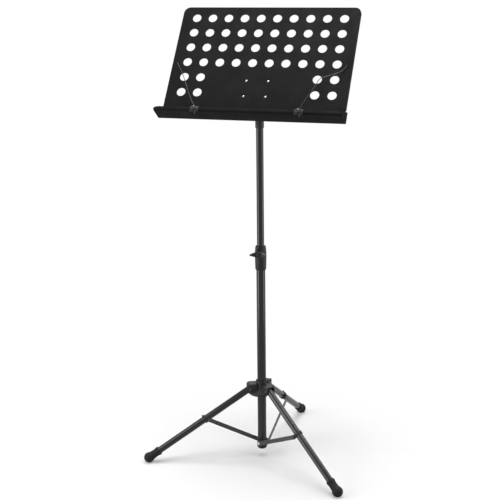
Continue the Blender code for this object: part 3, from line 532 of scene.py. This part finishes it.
def build_leg(side):
    """Leg tube, rubber foot and the clip that meets the strut."""
    place = along_leg(side)
    lengthwise = place @ turned_by("Y", 90)
    low, high = local_box(f"leg_{side}", place)
    tube = lathe(tube_profile(LEG_RADIUS, LEG_RADIUS - TUBE_WALL, low[0], high[0]), True, 48)
    add_piece(f"leg_tube_{side}", tube, "black_tube", [f"leg_{side}"], lengthwise)

    centre = local_box(f"foot_{side}", place)[1][0] - FOOT_RADIUS
    bulb = [(r, x) for x, r in arc((centre, 0), FOOT_RADIUS, 0, 126, 20)]
    bulb[0] = (0.0, centre + FOOT_RADIUS)
    end, bore, mouth = high[0], LEG_RADIUS + GAP, 0.3160
    neck = [(0.0114, end + 0.0010), (0.0111, end - 0.0040), (0.0112, end - 0.0090),
            (0.0120, end - 0.0110), (0.0123, end - 0.0130), (0.0123, end - 0.0165),
            (0.0119, mouth + 0.0006), (0.0112, mouth)]
    inner = [(bore, mouth), (bore, end + GAP), (0.0, end + GAP)]
    foot = moved(lathe(bulb + neck + inner, sides=48), lengthwise)
    under = block((-1, -1, -0.05), (1, 1, 0.0))
    add_piece(f"foot_bulb_{side}", carve(foot, [], [under]), "rubber", [f"foot_{side}"])

    low, high = local_box(f"leg_clip_{side}", place)
    middle, rim, ear_radius = (low[0] + high[0]) / 2, 0.0116, (high[0] - low[0]) / 2
    near, far = middle - CLIP_REACH, middle + CLIP_REACH
    band = [(0.0, far), (rim, far), (rim, near), (0.0, near)]
    face, ear_thick, inset = STRUT_PLANE + STRUT_THICK / 2 + GAP, 0.0040, 0.0006
    rivet = local_box(f"strut_rivet_{side}", place)
    below = (rivet[0][2] + rivet[1][2]) / 2
    ear = moved(prism(circle((0, 0), ear_radius, SMALL_ROUND), ear_thick),
                Matrix.Translation((middle, face + ear_thick / 2, below)) @ turned_by("X", 90))
    web = block((near + inset, face + inset, min(below, 0.0)), (far - inset, -0.0060, 0.0030))
    nub_radius, nub_root, nub_rise = 0.0024, 0.0010, 0.0022
    nub = rod(nub_radius, (middle, 0, rim - nub_root), (middle, 0, rim + nub_rise))
    hole = rod(LEG_RADIUS + GAP, (near - 0.02, 0, 0), (far + 0.02, 0, 0), 48)
    clip = carve(moved(lathe(band, sides=48), turned_by("Y", 90)), [ear, web, nub], [hole], edge=0.0006)
    add_piece(f"strut_clip_{side}", clip, "black_plastic", [f"leg_clip_{side}"], place)


def build_strut(side):
    """Pressed flat bar with round ends and a shallow rib along each face."""
    place = along_strut(side)
    length = math.hypot(*STRUT_REACH)
    half = STRUT_WIDTH / 2
    bar = prism(arc((length, 0), half, -90, 90, 16) + arc((0, 0), half, 90, 270, 16), STRUT_THICK)
    groove_width, groove, groove_start = 0.0030, 0.0004, 0.013
    cuts = []
    for face in (-1, 1):
        inset = face * (STRUT_THICK / 2 + 0.0005 - groove / 2)
        line = arc((length - groove_start, 0), groove_width / 2, -90, 90, 8)
        line += arc((groove_start, 0), groove_width / 2, 90, 270, 8)
        cuts.append(moved(prism(line, 0.0010 + groove), Matrix.Translation((0, 0, inset))))
    for x in (0.0, length):
        cuts.append(rod(RIVET_RADIUS + GAP, (x, 0, -0.01), (x, 0, 0.01)))
    flat = place @ Matrix.Translation((0, STRUT_PLANE, 0)) @ turned_by("X", 90)
    add_piece(f"strut_bar_{side}", carve(bar, [], cuts, edge=0.0003), "strut_steel",
              [f"strut_{side}"], flat)
    outside = STRUT_PLANE - STRUT_THICK / 2 - GAP
    head = domed_head(*PIN_HEAD)
    head += [(RIVET_RADIUS, 0.0), (RIVET_RADIUS, -STRUT_THICK - GAP), (0.0, -STRUT_THICK - GAP)]
    at = place @ Matrix.Translation((length, outside, 0)) @ turned_by("X", 90)
    add_piece(f"strut_end_rivet_{side}", lathe(head, sides=SMALL_ROUND), "zinc",
              [f"strut_rivet_{side}"], at, look="dark_zinc")


# ---------------------------------------------------------------- head


def build_head():
    """Socket on the mast with the lug that the desk tilts on, and its thumb screw."""
    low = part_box("head_socket")[0].z
    tilt_z = joint("desk_tilt")["pos_m"][2]
    screw = joint("socket_screw_turn")
    screw_z = screw["pos_m"][2]
    rim, top, lug, lug_thick, lug_root = 0.0118, 1.0220, 0.0110, 0.0130, 0.0080
    profile = [(0.0, top), (rim - 0.0030, top), (rim - 0.0009, top - 0.0009), (rim, top - 0.0030),
               (rim, low + 0.0012), (rim - 0.0010, low), (0.0, low)]
    foot = top - lug_root - tilt_z
    outline = arc((0, 0), lug, 0, 180, 24) + [(-lug, foot), (lug, foot)]
    upright = turned_by("Z", 90) @ turned_by("X", 90)
    lug_piece = moved(prism(outline, lug_thick), Matrix.Translation((0, 0, tilt_z)) @ upright)
    boss_radius, boss_start, boss_end = 0.0060, 0.0108, 0.0170
    boss = rod(boss_radius, (0, boss_start, screw_z), (0, boss_end, screw_z))
    bore = rod(UPPER_RADIUS + GAP, (0, 0, low - 0.01), (0, 0, mast_high.z + GAP), ROUND)
    body = carve(lathe(profile), [lug_piece, boss], [bore], edge=0.0006)
    add_piece("tilt_socket", body, "black_plastic", ["head_socket"], AT_POST)
    knob = wing_knob(tip=UPPER_RADIUS + GAP, seat=0.0173, boss_length=0.0080, reach=0.0130,
                     sweep=25, root=0.0052, thick=0.0032)
    at = Matrix.Translation(POST + Vector((0, 0, screw_z))) @ turned_by("X", -90)
    add_piece("socket_knob", knob, "black_plastic", ["socket_screw"], at)


# ---------------------------------------------------------------- desk


panel_high = local_box("desk_panel", DESK)[1]
tray_low, tray_high = local_box("music_tray", DESK)
FACE = panel_high[2]
DESK_HALF = panel_high[0]
DESK_TOP = panel_high[1]
TRAY_UNDER = tray_low[1]
TRAY_HALF = tray_high[0]


def panel_outline(inset, bottom):
    """Outline of the panel, from its lower right corner round the top."""
    half, top, corner = DESK_HALF - inset, DESK_TOP - inset, TOP_CORNER - inset
    outline = [(half, bottom + inset)]
    outline += arc((half - corner, top - corner), corner, 0, 90, 14)
    outline += arc((corner - half, top - corner), corner, 90, 180, 14)
    return outline + [(-half, bottom + inset)]


def hole_centres():
    """Centres of the punched holes: full rows, then the two lower corners."""
    for row in range(ALL_ROWS):
        for column in range(COLUMNS):
            from_side = min(column, COLUMNS - 1 - column)
            if row < FULL_ROWS or from_side < CORNER_COLUMNS:
                yield ((column - (COLUMNS - 1) / 2) * HOLE_PITCH,
                       GRID_MID + ((ALL_ROWS - 1) / 2 - row) * ROW_PITCH)


def build_panel():
    """Perforated sheet: eased front edges, and punched holes with a slight roll-in."""
    bm = bmesh.new()
    ease = 0.0004
    bottom = TRAY_UNDER + SHEET + TRAY_BEND
    depths = [(FACE, ease), (FACE - ease * 0.3, ease * 0.3), (FACE - ease, 0.0), (FACE - SHEET, 0.0)]
    front_edges, back_edges = [], []

    def ring(points, height):
        verts = [bm.verts.new((x, y, height)) for x, y in points]
        edges = [bm.edges.new((verts[i], verts[(i + 1) % len(verts)])) for i in range(len(verts))]
        return verts, edges

    def wall(shapes):
        rings = [ring(points, height) for points, height in shapes]
        for (upper, _), (lower, _) in zip(rings, rings[1:]):
            for i in range(len(upper)):
                j = (i + 1) % len(upper)
                bm.faces.new((upper[i], lower[i], lower[j], upper[j]))
        front_edges.extend(rings[0][1])
        back_edges.extend(rings[-1][1])

    wall([(panel_outline(inset, bottom), height) for height, inset in depths])
    screw = local_box("bracket_screw_1", DESK)
    screw_x = -(screw[0][0] + screw[1][0]) / 2
    screw_y = (screw[0][1] + screw[1][1]) / 2
    bores = [(centre, HOLE_RADIUS) for centre in hole_centres()]
    bores += [((sx * screw_x, sy * screw_y), 0.0023) for sx in (-1, 1) for sy in (-1, 1)]
    for centre, radius in bores:
        wall([(circle(centre, radius + inset, 48), height) for height, inset in depths])
    bmesh.ops.triangle_fill(bm, edges=front_edges, use_beauty=True)
    bmesh.ops.triangle_fill(bm, edges=back_edges, use_beauty=True)
    add_piece("desk_sheet", mesh_of(bm), "black_paint", ["desk_panel"], DESK, sharp=15)
    build_turned_edge()


def build_turned_edge():
    """The flange folded back round three sides of the panel, with a round fold."""
    low_end = TRAY_UNDER + TRAY_BACK + 0.0040
    fold = 0.0016
    outer = [(z, inset) for inset, z in
             [(fold - x, FACE - 0.0001 - fold + y) for x, y in arc((0, 0), fold, 90, 0, 6)]]
    outer.append((FACE - FLANGE + 0.0004, 0.0))
    section = outer + [(FACE - FLANGE, 0.0004), (FACE - FLANGE, SHEET - 0.0003),
                       (FACE - FLANGE + 0.0004, SHEET), (FACE - SHEET, SHEET)]
    section.append((FACE - SHEET, fold))
    bm = bmesh.new()
    rails = []
    for height, inset in section:
        path = panel_outline(inset + 0.00005, low_end - inset)
        rails.append([bm.verts.new((x, y, height)) for x, y in path])
    count = len(rails[0])
    for a, b in zip(rails, rails[1:] + rails[:1]):
        for i in range(count - 1):
            bm.faces.new((a[i], b[i], b[i + 1], a[i + 1]))
    bm.faces.new([rail[0] for rail in rails])
    bm.faces.new([rail[-1] for rail in rails][::-1])
    add_piece("desk_edge", mesh_of(bm), "black_paint", ["desk_panel"], DESK, sharp=50)


def tray_section(lip_height, back_height):
    """Outer face of the tray, in (Y, Z): down the back, along the shelf, up the lip."""
    bend = TRAY_BEND + SHEET
    back = FACE - 2 * SHEET - GAP
    front = FACE + TRAY_DEPTH
    low = TRAY_UNDER
    heel = arc((low + bend, back + bend), bend, 270, 180, 12)
    toe = arc((low + bend, front - bend), bend, 180, 90, 12)
    return [(low + back_height, back)] + heel + toe + [(low + max(lip_height, bend + 0.0002), front)]


def build_tray():
    """One folded sheet whose lip ends in large round corners."""
    steps = 14
    shares = [math.cos(math.pi / 2 * i / steps) for i in range(steps + 1)]
    stations = []
    for way in (-1, 1):
        for share in shares:
            height = math.sqrt(max(0.0, 1 - share * share))
            stations.append((way * (TRAY_HALF - TRAY_END * (1 - share)), height))
    stations.sort()
    points, faces = [], []
    flat = TRAY_BEND + SHEET
    for x, height in stations:
        lip = flat + (TRAY_LIP - flat) * height
        points += [(x, y, z) for y, z in tray_section(lip, TRAY_BACK - 0.0040 * (1 - height))]
    row = len(points) // len(stations)
    for i in range(len(stations) - 1):
        for j in range(row - 1):
            a, b = i * row + j, (i + 1) * row + j
            faces.append((a, a + 1, b + 1, b))
    sheet = bpy.data.meshes.new("tray")
    sheet.from_pydata(points, [], faces)
    temp = bpy.data.objects.new("temp", sheet)
    bpy.context.scene.collection.objects.link(temp)
    thick = temp.modifiers.new("sheet", "SOLIDIFY")
    thick.thickness, thick.offset, thick.use_even_offset = SHEET, 1.0, True
    bevel = temp.modifiers.new("edge", "BEVEL")
    bevel.width, bevel.segments = 0.0003, 2
    bevel.limit_method, bevel.angle_limit = "ANGLE", math.radians(50)
    bpy.context.view_layer.update()
    done = bpy.data.meshes.new_from_object(temp.evaluated_get(bpy.context.evaluated_depsgraph_get()))
    bpy.data.objects.remove(temp, do_unlink=True)
    add_piece("folded_tray", done, "black_paint", ["music_tray"], DESK)


def build_bracket_screws():
    """Raised-head screws with a cross recess."""
    for number in range(1, 5):
        low, high = local_box(f"bracket_screw_{number}", DESK)
        x, y = (low[0] + high[0]) / 2, (low[1] + high[1]) / 2
        rise = high[2] - FACE - GAP
        head_radius, shank = 0.0030, 0.0020
        head = [(r, FACE + GAP + z) for r, z in domed_head(head_radius, rise)]
        shaft = [(shank, FACE + GAP), (shank, low[2]), (0.0, low[2])]
        screw = lathe(head + shaft, sides=SMALL_ROUND)
        crosses = [block((-a, -b, high[2] - 0.0008), (a, b, high[2] + 0.001))
                   for a, b in ((0.0016, 0.0003), (0.0003, 0.0016))]
        turn = turned_by("Z", 20 + 31 * number)
        crosses = [moved(cross, turn) for cross in crosses]
        add_piece(f"desk_screw_{number}", carve(screw, [], crosses), "zinc",
                  [f"bracket_screw_{number}"], DESK @ Matrix.Translation((x, y, 0)))


def holder_route(way, eye):
    """Tail, one turn round the screw, out and up, then back to the panel and along it."""
    steps = 48
    turn = arc((0, 0), EYE_RADIUS, 19.3, 360 - way * 23.6, steps)
    rise = [EYE_RISE * (2 * i / steps - 1) for i in range(steps + 1)]
    route = [(0.0060, -0.0170, eye - EYE_RISE)]
    route += [(x, y, eye + z) for (x, y), z in zip(turn, rise)]
    reach = [(0.0085, 0.0200, 0.0015), (0.0265, 0.0545, 0.0028), (0.0435, 0.0900, 0.0046),
             (0.0470, 0.0960, 0.0020), (0.0524, 0.1030, -0.0060), (0.0644, 0.1207, -0.0254),
             (0.0785, 0.1407, -0.0453), (0.0830, 0.1465, -0.0493), (0.0870, 0.1520, -0.0511),
             (0.0945, 0.1665, -0.0523)]
    return route + [(way * x, y, eye + z) for x, y, z in reach]


def wire_mesh(points, radius):
    """Round wire along a line of points."""
    curve = bpy.data.curves.new("wire", "CURVE")
    curve.dimensions = "3D"
    curve.bevel_depth, curve.bevel_resolution, curve.use_fill_caps = radius, 5, True
    spline = curve.splines.new("POLY")
    spline.points.add(len(points) - 1)
    for point, place in zip(spline.points, points):
        point.co = (*place, 1.0)
    drawn = bpy.data.objects.new("drawn", curve)
    bpy.context.scene.collection.objects.link(drawn)
    bpy.context.view_layer.update()
    mesh = bpy.data.meshes.new_from_object(drawn.evaluated_get(bpy.context.evaluated_depsgraph_get()))
    bpy.data.objects.remove(drawn, do_unlink=True)
    bm = bmesh.new()
    bm.from_mesh(mesh)
    bmesh.ops.remove_doubles(bm, verts=bm.verts, dist=0.00001)
    return mesh_of(bm)


def build_holder(side, way):
    """Page holder: clip over the lip, shouldered screw and the wire arm."""
    front = FACE + TRAY_DEPTH
    lip_top = TRAY_UNDER + TRAY_LIP
    pivot = DESK.inverted() @ Vector(joint(f"holder_swing_{side}")["pos_m"])
    x, y = pivot.x, pivot.y
    half, wall, drop = 0.0120, 0.0016, 0.0130
    inside, outside = front - SHEET - GAP, front + GAP
    skirt = 0.0050
    saddle = block((x - half, lip_top - skirt, inside - wall),
                   (x + half, lip_top + wall, outside + wall))
    plate = block((x - half + GAP, lip_top - drop, outside),
                  (x + half - GAP, lip_top + wall - GAP, outside + wall + 0.0004))
    boss = rod(0.0058, (x, y, outside + 0.0010), (x, y, front + HOLDER_BOSS))
    mouth = block((x - 2 * half, lip_top - 2 * drop, inside), (x + 2 * half, lip_top + GAP, outside))
    clip = carve(saddle, [plate, boss], [mouth], edge=0.0004)
    add_piece(f"lip_clip_{side}", clip, "black_plastic", [f"holder_clip_{side}"], DESK)

    eye = front + HOLDER_EYE
    head_face = eye + EYE_RISE + WIRE_RADIUS + GAP
    head = [(r, head_face + z) for r, z in domed_head(0.0058, 0.0022)]
    shoulder = EYE_RADIUS - WIRE_RADIUS - GAP
    screw = lathe(head + [(shoulder, head_face), (shoulder, front + HOLDER_BOSS + GAP),
                          (0.0, front + HOLDER_BOSS + GAP)], sides=SMALL_ROUND)
    slot = block((-0.0070, -0.0005, head_face + 0.0012), (0.0070, 0.0005, head_face + 0.0050))
    slot = moved(slot, turned_by("Z", 35 * way))
    add_piece(f"clip_screw_{side}", carve(screw, [], [slot]), "zinc", [f"holder_screw_{side}"],
              DESK @ Matrix.Translation((x, y, 0)), look="dark_zinc")
    arm = wire_mesh(holder_route(way, eye), WIRE_RADIUS)
    add_piece(f"page_wire_{side}", arm, "wire", [f"holder_arm_{side}"],
              DESK @ Matrix.Translation((x, y, 0)))


# ---------------------------------------------------------------- hidden CAD nodes

SLOT_OF = {
    "guide_bush": "black_plastic", "collar_insert": "brass", "mast_plug": "black_plastic",
    "desk_bracket": "black_paint", "tilt_knob": "black_plastic", "tilt_bolt": "zinc",
    "tilt_washer_1": "zinc", "tilt_washer_2": "zinc",
    "bracket_nut_1": "zinc", "bracket_nut_2": "zinc", "bracket_nut_3": "zinc",
    "bracket_nut_4": "zinc",
}


def finish_cad_nodes():
    """The CAD nodes that stay get their material and eased edges."""
    for node, slot in SLOT_OF.items():
        shown = frame["nodes"][node]
        shown.data.materials.clear()
        shown.data.materials.append(LOOKS[slot])
        bevel = shown.modifiers.new("edge", "BEVEL")
        bevel.width, bevel.segments = 0.0004, 2
        bevel.limit_method, bevel.angle_limit = "ANGLE", math.radians(40)


# ---------------------------------------------------------------- floor, light, camera


FLOOR_RADIUS = 1.00
FLOOR_FADE = (0.16, 0.66)     # where the floor's rim starts and ends fading into white


def build_floor():
    """Pale floor that takes the stand's soft shadow and fades out into the white surround."""
    bm = bmesh.new()
    bmesh.ops.create_circle(bm, cap_ends=True, segments=96, radius=FLOOR_RADIUS)
    floor = bpy.data.objects.new("floor", mesh_of(bm))
    floor.location = (POST.x, POST.y, -0.0002)
    bpy.context.scene.collection.objects.link(floor)
    made = bpy.data.materials.new("pale_floor")
    made.use_nodes = True
    tree = made.node_tree
    shader = tree.nodes["Principled BSDF"]
    shader.inputs["Base Color"].default_value = (0.82, 0.82, 0.82, 1)
    shader.inputs["Roughness"].default_value = 0.9
    shader.inputs["Specular IOR Level"].default_value = 0.05
    place = tree.nodes.new("ShaderNodeTexCoord")
    length = tree.nodes.new("ShaderNodeVectorMath")
    length.operation = "LENGTH"
    fade = tree.nodes.new("ShaderNodeMapRange")
    fade.interpolation_type = "SMOOTHSTEP"
    fade.inputs["From Min"].default_value, fade.inputs["From Max"].default_value = FLOOR_FADE
    clear = tree.nodes.new("ShaderNodeBsdfTransparent")
    mix = tree.nodes.new("ShaderNodeMixShader")
    tree.links.new(place.outputs["Object"], length.inputs[0])
    tree.links.new(length.outputs["Value"], fade.inputs["Value"])
    tree.links.new(fade.outputs["Result"], mix.inputs["Fac"])
    tree.links.new(shader.outputs["BSDF"], mix.inputs[1])
    tree.links.new(clear.outputs["BSDF"], mix.inputs[2])
    tree.links.new(mix.outputs["Shader"], tree.nodes["Material Output"].inputs["Surface"])
    floor.data.materials.append(made)


def area_light(name, at, target, size, energy):
    """Softbox that the camera does not see."""
    lamp = bpy.data.lights.new(name, "AREA")
    lamp.shape = "RECTANGLE"
    lamp.size, lamp.size_y = size
    lamp.energy = energy
    light = bpy.data.objects.new(name, lamp)
    light.location = at
    light.rotation_mode = "QUATERNION"
    light.rotation_quaternion = (Vector(target) - Vector(at)).to_track_quat("-Z", "Y")
    bpy.context.scene.collection.objects.link(light)
    light.visible_camera = False
    return light


SURROUND = (0.42, 0.75)       # strength in diffuse light and in reflections


def build_world():
    """White surround for the camera, brighter in reflections than in the soft grey fill."""
    world = bpy.data.worlds.new("studio")
    bpy.context.scene.world = world
    world.use_nodes = True
    tree = world.node_tree
    fill = tree.nodes["Background"]
    fill.inputs["Color"].default_value = (1, 1, 1, 1)
    white = tree.nodes.new("ShaderNodeBackground")
    white.inputs["Color"].default_value = (1, 1, 1, 1)
    white.inputs["Strength"].default_value = 1.0
    path = tree.nodes.new("ShaderNodeLightPath")
    glossy = tree.nodes.new("ShaderNodeMapRange")
    glossy.inputs["To Min"].default_value, glossy.inputs["To Max"].default_value = SURROUND
    tree.links.new(path.outputs["Is Glossy Ray"], glossy.inputs["Value"])
    tree.links.new(glossy.outputs["Result"], fill.inputs["Strength"])
    mix = tree.nodes.new("ShaderNodeMixShader")
    tree.links.new(path.outputs["Is Camera Ray"], mix.inputs["Fac"])
    tree.links.new(fill.outputs["Background"], mix.inputs[1])
    tree.links.new(white.outputs["Background"], mix.inputs[2])
    tree.links.new(mix.outputs["Shader"], tree.nodes["World Output"].inputs["Surface"])


CAMERA_TURN = math.radians(17.484256)
CAMERA_RISE = math.radians(14.849055)
CAMERA_ROLL = math.radians(-0.614925)
CAMERA_FROM_POST = (0.83824, -2.75510, 1.37951)
CAMERA_LENS = 77.38
CAMERA_SHIFT = (-0.0009, 0.0010)


def build_camera():
    """Camera in front of the stand, a little to its right and above."""
    data = bpy.data.cameras.new("camera")
    data.lens = CAMERA_LENS
    data.shift_x, data.shift_y = CAMERA_SHIFT
    data.clip_start, data.clip_end = 0.05, 100
    camera = bpy.data.objects.new("camera", data)
    turn, rise = CAMERA_TURN, CAMERA_RISE
    back = Vector((math.sin(turn) * math.cos(rise), -math.cos(turn) * math.cos(rise), math.sin(rise)))
    right = Vector((math.cos(turn), math.sin(turn), 0))
    up = back.cross(right)
    rolled = right * math.cos(CAMERA_ROLL) + up * math.sin(CAMERA_ROLL)
    raised = up * math.cos(CAMERA_ROLL) - right * math.sin(CAMERA_ROLL)
    camera.matrix_world = placed(rolled, raised, POST + Vector(CAMERA_FROM_POST))
    bpy.context.scene.collection.objects.link(camera)
    bpy.context.scene.camera = camera


def build_lights():
    """Softbox overhead, one at each side, and a panel that only reflections see."""
    build_world()
    centre = POST + Vector((0, 0, 0.6))
    overhead_at, overhead_size, overhead_energy = (0.0, 0.1, 3.0), (1.6, 1.6), 62
    side_away, side_height, side_size = 1.7, 0.75, (1.0, 1.9)
    backdrop_at, backdrop_size, backdrop_energy = (0.35, 1.35, 2.1), (2.6, 1.4), 46
    area_light("overhead", POST + Vector(overhead_at), POST, overhead_size, overhead_energy)
    for name, turn, energy in (("side_left", -72, 24), ("side_right", 78, 15)):
        way = math.radians(turn) + CAMERA_TURN
        at = POST + Vector((side_away * math.sin(way), -side_away * math.cos(way), side_height))
        area_light(name, at, centre, side_size, energy)
    backdrop = area_light("backdrop", POST + Vector(backdrop_at), POST, backdrop_size,
                          backdrop_energy)
    backdrop.visible_diffuse = False


bpy.context.scene.view_settings.view_transform = "Standard"
build_post()
build_base()
build_collar()
build_hub()
for leg_side in SIDES:
    build_leg(leg_side)
    build_strut(leg_side)
build_head()
build_panel()
build_tray()
build_bracket_screws()
for holder_side, holder_way in (("left", -1), ("right", 1)):
    build_holder(holder_side, holder_way)
finish_cad_nodes()
build_floor()
build_lights()
build_camera()
